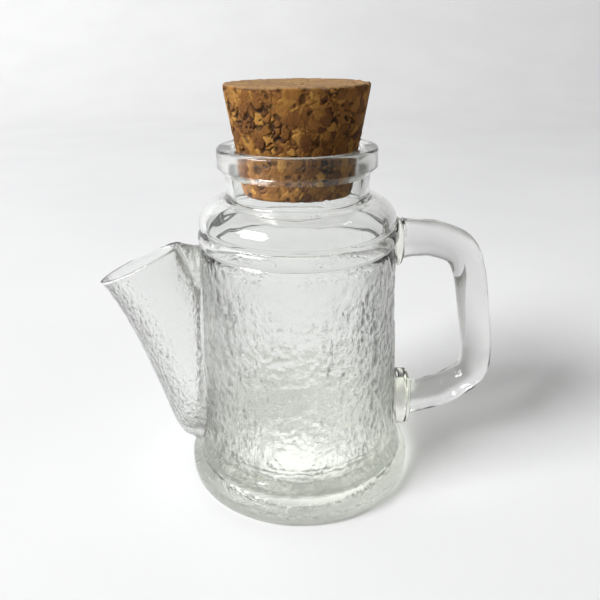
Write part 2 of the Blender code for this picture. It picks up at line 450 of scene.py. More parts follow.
def evenly(points: np.ndarray, step: float) -> np.ndarray:
    """Places points evenly along an outline.

    Args:
        points: the outline's points.
        step: the distance between the new points.

    Returns:
        The new points, which keep both ends.
    """
    reach = np.concatenate([[0.0], np.cumsum(np.linalg.norm(np.diff(points, axis=0), axis=1))])
    at = np.linspace(0.0, reach[-1], max(2, round(reach[-1] / step) + 1))
    return np.stack([np.interp(at, reach, points[:, i]) for i in range(points.shape[1])], 1)


def crisp(points: np.ndarray, inset: float, longest: float = 0.0015) -> np.ndarray:
    """Keeps an outline's corners and puts a point near both ends of each long stretch.

    Args:
        points: the outline's points.
        inset: how far the new points lie from the corners.
        longest: the longest stretch that is left as it is.

    Returns:
        The outline with the new points.
    """
    rows = [points[0]]
    for first, second in zip(points[:-1], points[1:]):
        length = float(np.linalg.norm(second - first))
        if length > max(longest, 3 * inset):
            rows.append(first + (second - first) * inset / length)
            rows.append(second - (second - first) * inset / length)
        rows.append(second)
    return np.array(rows)


def through(stations: Sequence[Sequence[float]], count: int) -> np.ndarray:
    """A smooth curve through stations, by Catmull-Rom pieces.

    Args:
        stations: rows of numbers.
        count: how many rows to return.

    Returns:
        The rows of the curve.
    """
    rows = np.array(stations, float)
    padded = np.vstack([2 * rows[0] - rows[1], rows, 2 * rows[-1] - rows[-2]])
    at = np.linspace(0.0, len(rows) - 1.0, count)
    piece = np.minimum(at.astype(int), len(rows) - 2)
    t = (at - piece)[:, None]
    a, b, c, d = (padded[piece + i] for i in range(4))
    return 0.5 * (
        2 * b + (c - a) * t + (2 * a - 5 * b + 4 * c - d) * t**2 + (3 * b - 3 * c + d - a) * t**3
    )


def smooth_step(value: np.ndarray, low: float, high: float) -> np.ndarray:
    """Returns 0 before low and 1 after high, with a smooth change between them."""
    share = np.clip((value - low) / (high - low), 0.0, 1.0)
    return share * share * (3 - 2 * share)


def window(value: np.ndarray, rise: Pair, fall: Pair) -> np.ndarray:
    """Returns 1 between a rise and a fall, and 0 outside them."""
    return smooth_step(value, *rise) * (1 - smooth_step(value, *fall))


def turned(outline: np.ndarray, columns: int) -> np.ndarray:
    """Turns an outline about the axis.

    Args:
        outline: rows of radius and height.
        columns: the number of points round each ring.

    Returns:
        Rings of points: row, column, coordinate.
    """
    ring = np.stack([np.cos(around(columns)), np.sin(around(columns))], 1)
    flat = outline[:, None, :1] * ring[None]
    return np.concatenate([flat, np.broadcast_to(outline[:, None, 1:], (*flat.shape[:2], 1))], 2)


def ring_normals(rings: np.ndarray) -> np.ndarray:
    """Directions square to a surface of rings.

    Args:
        rings: row, column, coordinate.

    Returns:
        A unit direction for each point, the same way in or out all over.
    """
    along = np.roll(rings, -1, 1) - np.roll(rings, 1, 1)
    across = np.gradient(rings, axis=0)
    square = np.cross(along, across)
    return square / np.maximum(np.linalg.norm(square, axis=2, keepdims=True), 1e-12)


def between(low: np.ndarray, high: np.ndarray) -> list[tuple[int, ...]]:
    """Returns the faces between two rings of as many points."""
    corners = (low, np.roll(low, -1), np.roll(high, -1), high)
    return list(zip(*(corner.tolist() for corner in corners)))


def outward(rings: np.ndarray) -> np.ndarray:
    """Directions square to a surface of rings that stand round one middle, pointing out.

    Args:
        rings: row, column, coordinate.

    Returns:
        A unit direction for each point.
    """
    square = ring_normals(rings)
    spoke = rings - rings.mean(1, keepdims=True)
    way = np.sign((square * spoke).sum(2))
    way[way == 0] = 1.0
    return square * way[..., None]


def solid_of_rings(name: str, *bands: np.ndarray) -> bpy.types.Object:
    """Makes one closed solid from bands of rings, with a point closing each end.

    Args:
        name: the object's name.
        bands: each one row, column, coordinate; they have as many columns and follow each other.

    Returns:
        The object, smooth, with its faces out.
    """
    rings, faces, points = [], [], 0
    for band in bands:
        rows, columns = band.shape[:2]
        index = points + np.arange(rows * columns).reshape(rows, columns)
        points += rows * columns
        rings += list(index)
    for low, high in zip(rings, rings[1:]):
        faces += between(low, high)
    for end, ring in ((points, rings[0]), (points + 1, rings[-1])):
        faces += [(end, int(first), int(second)) for first, second in zip(ring, np.roll(ring, -1))]
    ends = [bands[0][0].mean(0)[None], bands[-1][-1].mean(0)[None]]
    places = [band.reshape(-1, 3) for band in bands] + ends
    mesh = bpy.data.meshes.new(name)
    mesh.from_pydata(np.vstack(places).tolist(), [], faces)
    face_out(mesh)
    return placed(name, mesh)


def placed(name: str, data: Any) -> bpy.types.Object:
    """Returns an object with that data, linked to the scene."""
    made = bpy.data.objects.new(name, data)
    bpy.context.scene.collection.objects.link(made)
    return made


def face_out(mesh: bpy.types.Mesh) -> None:
    """Turns a closed mesh's faces out and shades it smooth."""
    work = bmesh.new()
    work.from_mesh(mesh)
    bmesh.ops.recalc_face_normals(work, faces=work.faces)
    work.to_mesh(mesh)
    work.free()
    mesh.shade_smooth()


def cut_away(piece: bpy.types.Object, cutters: Sequence[bpy.types.Object], crease: float = 42.0) -> None:
    """Cuts other solids out of a piece and removes them.

    Args:
        piece: the object that is cut.
        cutters: closed solids.
        crease: the angle in degrees from which an edge stays sharp.
    """
    for cutter in cutters:
        boolean = piece.modifiers.new("cut", "BOOLEAN")
        boolean.operation = "DIFFERENCE"
        boolean.solver = "EXACT"
        boolean.object = cutter
    bpy.context.view_layer.update()
    shaped = piece.evaluated_get(bpy.context.evaluated_depsgraph_get())
    mesh = bpy.data.meshes.new_from_object(shaped)
    piece.modifiers.clear()
    piece.data = mesh
    mesh.name = piece.name
    mesh.shade_smooth()
    mesh.set_sharp_from_angle(angle=math.radians(crease))
    for cutter in cutters:
        bpy.data.objects.remove(cutter)


def rounded_ring(x: float, middle: float, height: float, width: float, columns: int) -> np.ndarray:
    """A rounded rectangle that faces +X.

    Args:
        x: where it stands.
        middle: the height of its middle.
        height: half its height.
        width: half its width.
        columns: its number of points.

    Returns:
        Its points.
    """
    across, up = np.cos(around(columns)), np.sin(around(columns))
    across, up = (np.sign(way) * np.abs(way) ** ROUNDING for way in (across, up))
    return np.stack([np.full(columns, x), width * across, middle + height * up], 1)


@dataclass(frozen=True)
class IceRelief:
    """The crumpled relief that the mould leaves on the body and spout, sunk into the glass."""

    depth: float = 0.00115
    width: float = 0.0028
    stretch: float = 1.5
    speck_depth: float = 0.00030
    speck_width: float = 0.0012
    twist: float = 0.9
    fold: float = 0.62
    patch: Pair = (0.80, 0.8)
    patch_scale: float = 0.17

    def sink(self, points: np.ndarray) -> np.ndarray:
        """How far each point lies below the untouched skin.

        Args:
            points: row, column, coordinate.

        Returns:
            A depth for each point.
        """
        flat = points.reshape(-1, 3) / np.array([1.0, 1.0, self.stretch])
        sunk = np.empty(len(flat))
        for i, place in enumerate(flat):
            at = Vector(place / self.width)
            at += noise.noise_vector(at * 0.5) * self.twist
            ridge = noise.ridged_multi_fractal(at, 1.0, 2.1, 3, 0.9, 1.8)
            patch = self.patch[0] + self.patch[1] * noise.noise(at * self.patch_scale)
            fold = min(max(1.0 - ridge * self.fold, 0.0), 1.0)
            speck = 0.5 + 0.5 * noise.noise(Vector(place / self.speck_width))
            sunk[i] = patch * (self.depth * fold + self.speck_depth * speck)
        return sunk.reshape(points.shape[:2])


def rough_up(rings: np.ndarray, share: np.ndarray, wave: Pair, way: np.ndarray) -> None:
    """Lets part of a surface wander by a noise.

    Args:
        rings: the surface, which is changed in place.
        share: how much of the depth each point has.
        wave: the noise's size and the most that a point moves, in metres.
        way: the direction in which the points move, for each.
    """
    width, depth = wave
    for row in np.flatnonzero(share.max(1) > 0):
        for column in np.flatnonzero(share[row] > 0):
            move = noise.noise(Vector(rings[row, column] / width)) * 0.5 + 0.5
            rings[row, column] += way[row, column] * (move * depth * share[row, column])


# ---------------------------------------------------------------- the bottle


@dataclass
class Vessel:
    """The bottle itself: foot, body, shoulder, neck and collar."""

    node: str = "glass_vessel"
    columns: int = 320
    ice_step: float = 0.00070
    foot_step: float = 0.00062
    edge_inset: float = 0.00022
    inner_step: float = 0.0034
    floor_step: float = 0.0024
    ripple_step: float = 0.00048
    ripple_start: float = 0.0205
    foot_round: float = 0.0026
    ledge_round: float = 0.0012
    ledge_high: float = 0.0056
    ring_inner: float = 0.030
    kick_up: float = 0.0040
    side: tuple[Pair, ...] = (
        (0.0317, 0.0848),
        (0.0327, 0.0790),
        (0.0332, 0.0670),
        (0.0340, 0.0530),
        (0.0346, 0.0360),
        (0.0352, 0.0240),
        (0.0360, 0.0150),
        (0.0371, 0.0108),
        (0.0386, 0.0080),
    )
    groove: float = 0.0313
    bead: float = 0.0327
    bead_low: float = 0.0858
    bead_high: float = 0.0908
    shoulder: float = 0.032
    shoulder_centre: float = 0.0231
    shoulder_spring: float = 0.0934
    shoulder_top: float = 0.1006
    neck: float = 0.0229
    neck_root: float = 0.0015
    collar_low: float = 0.1084
    collar_side_low: float = 0.1108
    lip_round: float = 0.0009
    collar: float = 0.0252
    bore: float = 0.0194
    neck_inner: float = 0.0200
    wall: float = 0.0028
    floor_radius: float = 0.0320
    floor_centre: float = 0.0090
    floor_edge: float = 0.0105
    floor_round: float = 0.0060
    port_height: float = 0.043
    port_half: tuple[float, float] = (0.019, 0.008)
    ice_top: float = 0.0852
    ice_low: float = 0.0118
    ice_fade: float = 0.004
    ice_thin: Pair = (0.0712, 0.0832)
    ice_end: Pair = (0.0828, 0.0852)
    foot_side: tuple[Pair, Pair] = ((0.0002, 0.0020), (0.0100, 0.0118))
    foot_waves: tuple[Pair, ...] = ((0.007, 0.00022), (0.002, 0.00050))
    ripple_low: float = 0.0150
    ripple_top: float = 0.0190
    ripple_width: float = 0.0021
    ripple_depth: float = 0.00045
    floor_waves: tuple[Pair, ...] = ((0.007, 0.00045), (0.0024, 0.00015))
    wall_calm: tuple[Pair, Pair] = ((0.0190, 0.0250), (0.088, 0.094))
    wall_wave: Pair = (0.009, 0.00030)
    under_step: float = 0.0024
    under_edge: Pair = (0.026, 0.029)
    under_wave: Pair = (0.0034, 0.00090)
    mark_step: float = 0.00055
    mark: float = 0.0080
    mark_edge: Pair = (0.0050, 0.0080)
    mark_wave: Pair = (0.0015, 0.00140)
    relief: IceRelief = field(default_factory=IceRelief)

    def __post_init__(self) -> None:
        """Reads the vessel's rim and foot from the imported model."""
        low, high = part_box(self.node)
        self.rim = high.z
        self.foot = high.x

    def outside(self) -> np.ndarray:
        """The outline from the rim's crown down to the foot ring's outer edge.

        Returns:
            Rows of radius and height.
        """
        lip = arc((self.collar - self.lip_round, self.rim - self.lip_round), (self.lip_round,) * 2, 90, 0, 7)
        top = np.array([(self.bore + 2.0 * MM, self.rim - 0.15 * MM)])
        collar = np.array([(self.collar, self.collar_side_low), (self.neck, self.collar_low)])
        bend = self.neck_root
        root = arc((self.neck + bend, self.shoulder_top + bend), (bend, bend), 180, 250, 6)
        reach = (self.shoulder - self.shoulder_centre, self.shoulder_top - self.shoulder_spring)
        shoulder = arc((self.shoulder_centre, self.shoulder_spring), reach, 80, 0, 19)
        bulge, half = self.bead - self.groove, (self.bead_high - self.bead_low) / 2
        creased = np.vstack(
            [
                (self.shoulder - 0.05 * MM, self.bead_high + 1.5 * MM),
                (self.groove, self.bead_high + 0.7 * MM),
                (self.groove, self.bead_high + 0.1 * MM),
                arc((self.groove, self.bead_low + half), (bulge, half), 80, -80, 9),
                (self.groove, self.bead_low - 0.3 * MM),
            ]
        )
        body = through(self.side, 60)
        edge = self.foot - self.ledge_round
        ledge = arc((edge, self.ledge_high), (self.ledge_round,) * 2, 55, 0)
        foot_edge = arc((self.foot - self.foot_round, self.foot_round), (self.foot_round,) * 2, 0, -90)
        return np.vstack([top, lip, collar, root, shoulder, creased, body, ledge, foot_edge])

    def inside(self) -> np.ndarray:
        """The hollow's outline from near the middle of the floor up to the bore's mouth.

        Returns:
            Rows of radius and height.
        """
        start = (0.4 * MM, self.floor_centre)
        bend = self.floor_round
        corner = arc((self.floor_radius - bend, self.floor_edge + bend), (bend, bend), -90, 0)
        wall = (self.side[1][0] - self.wall, self.side[1][1])
        edge, spring = self.neck_inner + 1.5 * MM, self.shoulder_spring - MM
        reach = (self.shoulder - self.wall - edge, self.shoulder_top - spring - 2.4 * MM)
        roof = arc((edge, spring), reach, 5, 80, 16)
        neck = [
            (self.neck_inner, self.shoulder_top),
            (self.neck_inner, self.collar_low + MM),
            (self.bore, self.collar_side_low),
        ]
        mouth = arc((self.bore + 1.2 * MM, self.rim - 1.4 * MM), (1.2 * MM,) * 2, 180, 92, 7)
        return np.vstack([start, corner, wall, roof, neck, mouth])

    def underside(self) -> np.ndarray:
        """The foot ring's flat and the pushed-up middle, in to near the axis.

        Returns:
            Rows of radius and height.
        """
        radius = np.linspace(self.ring_inner, 0.4 * MM, 24)
        dome = self.kick_up * np.cos(math.pi / 2 * radius / self.ring_inner)
        return np.vstack([[(self.foot - self.foot_round, 0.0)], np.stack([radius, dome], 1)])

    def skin(self, gap: float) -> bpy.types.Object:
        """Returns a solid of the vessel's outside that stands off it by a gap, to trim a joined piece."""
        outline = evenly(self.outside(), 1.2 * MM) + np.array([gap, 0.0])
        return solid_of_rings("skin_cutter", turned(outline, 256))

    def _port(self) -> bpy.types.Object:
        """Returns the solid of the port between the vessel and its spout."""
        height, width = self.port_half
        places = np.array([-0.044, -0.040, -0.034, -0.028, -0.022])
        rings = np.stack([rounded_ring(x, self.port_height, height, width, 72) for x in places])
        return solid_of_rings("port_cutter", rings)

    def _split(self, outline: np.ndarray, height: float) -> tuple[np.ndarray, np.ndarray]:
        """Splits an outline that runs down or up where it passes a height for the first time.

        Args:
            outline: rows of radius and height.
            height: where it is split.

        Returns:
            The two parts, which share the point between them.
        """
        side = outline[:, 1] > height
        at = int(np.flatnonzero(side != side[0])[0])
        first, second = outline[at - 1], outline[at]
        cut = first + (second - first) * (height - first[1]) / (second[1] - first[1])
        return np.vstack([outline[:at], cut]), np.vstack([cut, outline[at:]])

    def _outer_bands(self) -> list[np.ndarray]:
        """Makes the neck and shoulder, the iced body and the foot.

        Returns:
            Three bands of rings, from the rim down.
        """
        top, rest = self._split(self.outside(), self.ice_top)
        body, foot = self._split(rest, self.ice_low)
        upper = turned(crisp(top, self.edge_inset), self.columns)
        iced = turned(evenly(body, self.ice_step), self.columns)
        lower = turned(evenly(foot, self.foot_step), self.columns)
        height = iced[..., 2]
        share = smooth_step(height, self.ice_low, self.ice_low + self.ice_fade)
        share *= 1 - 0.7 * smooth_step(height, *self.ice_thin)
        share *= 1 - smooth_step(height, *self.ice_end)
        iced = iced - outward(iced) * (self.relief.sink(iced) * share)[..., None]
        inward = -outward(lower)
        side = window(lower[..., 2], *self.foot_side)
        for wave in self.foot_waves:
            rough_up(lower, side, wave, inward)
        return [upper, iced[1:], lower[1:]]

    def _inner_bands(self) -> list[np.ndarray]:
        """Makes the floor with its ripples and the hollow's wall.

        Returns:
            Two bands of rings, from the middle of the floor up.
        """
        low, rest = self._split(self.inside(), self.ripple_top)
        high, roof = self._split(rest, self.ice_top)
        fine = evenly(low, self.ripple_step)
        flat = evenly(fine[fine[:, 0] < self.ripple_start], self.floor_step)
        fine = fine[fine[:, 0] >= self.ripple_start]
        floor = turned(np.vstack([flat, fine[1:]]), self.columns)
        roof = crisp(roof, self.inner_step)[1:]
        wall = turned(np.vstack([evenly(high, self.inner_step), roof]), self.columns)
        reach = (np.arange(len(floor))[:, None] - len(flat)) * self.ripple_step
        share = 1 - smooth_step(floor[..., 2], self.ripple_low, self.ripple_top)
        near_edge = smooth_step(reach, 0.0, 4 * MM) * share
        ripple = np.sin(2 * math.pi * reach / self.ripple_width + 3.0 * noise_at(floor, 90.0))
        inward = -outward(floor)
        inward[..., 2] = np.abs(inward[..., 2])
        floor += inward * (near_edge * (0.5 + 0.5 * ripple) * self.ripple_depth)[..., None]
        share = 1 - smooth_step(floor[..., 2], self.ripple_low, self.ripple_top)
        for wave in self.floor_waves:
            rough_up(floor, share, wave, inward)
        level = np.array([1.0, 1.0, 0.0])
        rough_up(wall, window(wall[..., 2], *self.wall_calm), self.wall_wave, -outward(wall) * level)
        return [floor, wall[1:]]

    def _under_band(self) -> np.ndarray:
        """Makes the underside with the rough mark in its middle.

        Returns:
            A band of rings, from the foot ring inwards.
        """
        outline = evenly(self.underside(), self.mark_step)
        broad = evenly(outline[outline[:, 0] > self.mark], self.under_step)
        under = turned(np.vstack([broad, outline[outline[:, 0] <= self.mark]]), self.columns)[1:]
        radius = np.hypot(under[..., 0], under[..., 1])
        up = np.broadcast_to([0.0, 0.0, 1.0], under.shape)
        rough_up(under, 1 - smooth_step(radius, *self.under_edge), self.under_wave, up)
        rough_up(under, 1 - smooth_step(radius, *self.mark_edge), self.mark_wave, up)
        return under

    def build(self, finish: bpy.types.Material) -> bpy.types.Object:
        """Blows the vessel.

        Args:
            finish: its glass.

        Returns:
            The vessel, which rides on the glassware.
        """
        outer = self._outer_bands()
        outer[0] = outer[0][1:]
        vessel = solid_of_rings("vessel_glass", *self._inner_bands(), *outer, self._under_band())
        cut_away(vessel, [self._port()])
        vessel.data.materials.append(finish)
        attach(vessel, "glassware")
        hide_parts(self.node)
        return vessel


@dataclass
class Spout:
    """The pouring spout: an oval cone whose root is joined to the vessel's side."""

    node: str = "pouring_spout"
    columns: int = 168
    gap: float = 0.00006
    rim_round: float = 0.0009
    rim_rows: Pair = (1.0, 9.0)
    fillet: float = 0.0017
    fillet_reach: float = 0.0042
    fillet_bend: float = 2.2
    skin: tuple[tuple[float, ...], ...] = (
        (-67.0, 72.0, -39.4, 84.8, 9.4),
        (-65.5, 69.2, -31.0, 82.2, 9.8),
        (-61.6, 62.4, -28.5, 74.5, 10.8),
        (-56.6, 51.0, -25.5, 61.0, 12.6),
        (-52.2, 38.6, -22.5, 46.0, 14.2),
        (-48.8, 26.0, -23.0, 32.0, 12.6),
        (-46.2, 16.6, -27.0, 20.5, 9.4),
        (-44.0, 12.0, -30.0, 14.4, 6.4),
        (-41.2, 9.4, -33.5, 10.8, 3.0),
    )
    hollow: tuple[tuple[float, ...], ...] = (
        (-65.2, 72.8, -41.2, 84.0, 7.6),
        (-60.0, 64.6, -36.0, 74.0, 8.6),
        (-54.6, 52.0, -28.5, 60.0, 10.4),
        (-50.2, 39.4, -24.5, 45.6, 12.0),
        (-46.8, 27.4, -25.0, 32.4, 10.4),
        (-44.2, 18.8, -28.0, 21.8, 7.2),
        (-41.8, 15.2, -31.0, 17.0, 3.8),
    )
    relief: IceRelief = field(default_factory=lambda: IceRelief(depth=0.00042, speck_depth=0.00015))

    def _rings(self, stations: np.ndarray) -> np.ndarray:
        """Ovals that stand on the line from each station's outer point to its inner one.

        Args:
            stations: rows of outer x and z, inner x and z, and half width, in millimetres.

        Returns:
            Rings of points.
        """
        turn = around(self.columns)
        rows = stations[:, None, :] * MM
        middle = (rows[..., 0:2] + rows[..., 2:4]) / 2
        reach = (rows[..., 2:4] - rows[..., 0:2]) / 2
        flat = middle + reach * np.cos(turn)[None, :, None]
        side = rows[..., 4] * np.sin(turn)[None]
        return np.stack([flat[..., 0], side, flat[..., 1]], 2)

    def build(self, vessel: Vessel, finish: bpy.types.Material) -> bpy.types.Object:
        """Draws the spout and trims it to the vessel.

        Args:
            vessel: the vessel that it is joined to.
            finish: its glass.

        Returns:
            The spout, which rides on the glassware.
        """
        outer = self._rings(through(self.skin, 120))
        inner = self._rings(through(self.hollow, 64))
        square = outward(outer)
        share = smooth_step(np.arange(len(outer)), *self.rim_rows)[:, None]
        outer = outer - square * (self.relief.sink(outer) * share)[..., None]
        outer += square * self._fillet(vessel, outer)[..., None]
        shell = np.concatenate([outer[::-1], self._rim(outer[0], inner[0]), inner])
        spout = solid_of_rings("spout_glass", shell)
        cut_away(spout, [vessel.skin(self.gap)])
        spout.data.materials.append(finish)
        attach(spout, "glassware")
        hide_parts(self.node)
        return spout

    def _rim(self, outer: np.ndarray, inner: np.ndarray) -> np.ndarray:
        """The fire-polished round between the mouth's outer and inner ring.

        Args:
            outer: the outer ring.
            inner: the inner ring.

        Returns:
            The rings between them.
        """
        first, second = outer[0] - outer[self.columns // 2], outer[self.columns // 4] - outer[0]
        out = np.cross(first, second)
        out *= np.sign(out[2]) / np.linalg.norm(out)
        middle, half = (outer + inner) / 2, (outer - inner) / 2
        turns = np.radians(np.linspace(15, 165, 11))[:, None, None]
        return middle + half * np.cos(turns) + out * self.rim_round * (np.sin(turns) - 1.0)

    def _fillet(self, vessel: Vessel, points: np.ndarray) -> np.ndarray:
        """How far the hot joint widens the root.

        Args:
            vessel: the vessel that the root meets.
            points: the spout's outer surface.

        Returns:
            A distance for each point.
        """
        outline = vessel.outside()[::-1]
        body = outline[outline[:, 1] < vessel.ice_top]
        radius = np.interp(points[..., 2], body[:, 1], body[:, 0])
        off = np.hypot(points[..., 0], points[..., 1]) - radius
        return self.fillet * np.clip(1.0 - off / self.fillet_reach, 0.0, 1.0) ** self.fillet_bend


def open_faces(piece: bpy.types.Object, joint: bpy.types.Material, centre: Vector, reach: float) -> None:
    """Gives the flat faces inside a melted joint their own material.

    Args:
        piece: the piece, which meets another at a face that looks along X.
        joint: the material.
        centre: the middle of the joint.
        reach: its radius.
    """
    if joint.name not in piece.data.materials:
        piece.data.materials.append(joint)
    slot = piece.data.materials.find(joint.name)
    for face in piece.data.polygons:
        away = face.center - centre
        if abs(away.x) < 0.02 * MM and math.hypot(away.y, away.z) < reach * 1.001:
            face.material_index = slot


@dataclass
class HandlePad:
    """A gather of glass that holds one end of the handle rod to the vessel."""

    name: str
    node: str
    middle: float
    face: float
    height: float
    width: float
    flare: float
    flare_bend: float = 2.4
    flare_side: float = 0.8
    edge: float = 0.0016
    reach: float = 0.0068
    gap: float = 0.00006
    uneven: Pair = (190.0, 0.03)
    columns: int = 112
    rows: int = 30

    def build(
        self, vessel: Vessel, rod_end: Pair, finish: bpy.types.Material, joint: bpy.types.Material
    ) -> bpy.types.Object:
        """Presses the pad and trims it to the vessel.

        Args:
            vessel: the vessel that it is joined to.
            rod_end: the height of the rod's end and its radius.
            finish: its glass.
            joint: the material of the face that the rod was melted to.

        Returns:
            The pad, which rides on the glassware.
        """
        rings = []
        for share in np.linspace(0.0, 1.0, self.rows):
            x = self.face - self.reach * (1 - share)
            spread = self.flare * (1 - share) ** self.flare_bend
            turn_in = max(0.0, x - (self.face - self.edge)) / self.edge
            tuck = self.edge * (1 - math.sqrt(max(0.0, 1 - turn_in * turn_in)))
            half = (self.height + spread - tuck, self.width + self.flare_side * spread - tuck)
            rings.append(rounded_ring(x, self.middle, *half, self.columns))
        rings = np.stack(rings)
        centre = np.array([0.0, self.middle])
        wander = 1 + self.uneven[1] * noise_at(rings, self.uneven[0])[..., None]
        rings[..., 1:] = (rings[..., 1:] - centre) * wander + centre
        height, radius = rod_end
        turn = around(self.columns)
        seat = [np.full(self.columns, self.face), radius * np.cos(turn), height + radius * np.sin(turn)]
        pad = solid_of_rings(self.name, np.concatenate([rings, np.stack(seat, 1)[None]]))
        cut_away(pad, [vessel.skin(self.gap)])
        pad.data.materials.append(finish)
        open_faces(pad, joint, Vector((self.face, 0.0, height)), radius)
        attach(pad, "glassware")
        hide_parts(self.node)
        return pad


@dataclass
class HandleRod:
    """The handle: one solid rod, bent while hot."""

    node: str = "handle_rod"
    columns: int = 96
    rows: int = 240
    straight_rows: int = 10
    end_gap: float = 0.00006
    wave: Pair = (0.009, 0.00018)
    wave_start: Pair = (0.001, 0.005)
    lumps: Pair = (0.0045, 0.00045)
    lump_start: Pair = (0.001, 0.004)
    lump_top: Pair = (0.030, 0.044)
    bends: tuple[tuple[float, ...], ...] = (
        (34.3, 86.1, 7.0),
        (36.2, 86.2, 6.45),
        (39.5, 86.2, 6.2),
        (45.0, 85.9, 6.1),
        (53.6, 82.3, 5.9),
        (58.0, 74.0, 5.5),
        (60.8, 60.0, 5.45),
        (63.1, 46.0, 5.45),
        (62.3, 35.8, 5.7),
        (53.4, 28.5, 6.1),
        (45.0, 25.6, 6.2),
        (42.2, 25.2, 6.3),
        (40.1, 25.1, 6.9),
    )

    def end(self, number: int) -> Pair:
        """Returns the height and radius of the rod at its first (0) or last (-1) bend."""
        return self.bends[number][1] * MM, self.bends[number][2] * MM

    def build(
        self, faces: Pair, finish: bpy.types.Material, joint: bpy.types.Material
    ) -> bpy.types.Object:
        """Bends the rod.

        Args:
            faces: where the upper and the lower pad end.
            finish: its glass.
            joint: the material of its two end faces.

        Returns:
            The rod, which rides on the glassware.
        """
        stations = np.array(self.bends) * MM
        stations[[0, -1], 0] = np.array(faces) + self.end_gap
        path = through(stations, self.rows)
        spine = np.stack([path[:, 0], np.zeros(self.rows), path[:, 1]], 1)
        ahead = np.gradient(spine, axis=0)
        ahead /= np.linalg.norm(ahead, axis=1, keepdims=True)
        straight = np.clip(1 - np.arange(self.rows) / self.straight_rows, 0, 1)[:, None]
        for way, share in ((1.0, straight), (-1.0, straight[::-1])):
            ahead = ahead * (1 - share) + np.array([way, 0.0, 0.0]) * share
        ahead /= np.linalg.norm(ahead, axis=1, keepdims=True)
        side = np.array([0.0, 1.0, 0.0])
        up = np.cross(ahead, side)
        turn = around(self.columns)
        spoke = up[:, None] * np.cos(turn)[None, :, None] + side * np.sin(turn)[None, :, None]
        rings = spine[:, None] + spoke * path[:, 2][:, None, None]
        wavy = smooth_step(path[:, 0] - faces[0], *self.wave_start)
        lumpy = 1 - smooth_step(path[:, 1], *self.lump_top)
        lumpy *= smooth_step(path[:, 0] - faces[1], *self.lump_start)
        for share, wave in ((wavy, self.wave), (lumpy, self.lumps)):
            rough_up(rings, np.repeat(share[:, None], self.columns, 1), wave, -spoke)
        rod = solid_of_rings("handle_rod_glass", rings)
        rod.data.materials.append(finish)
        for number, face in zip((0, -1), faces):
            height, radius = self.end(number)
            open_faces(rod, joint, Vector((face + self.end_gap, 0.0, height)), radius)
        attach(rod, "glassware")
        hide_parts(self.node)
        return rod


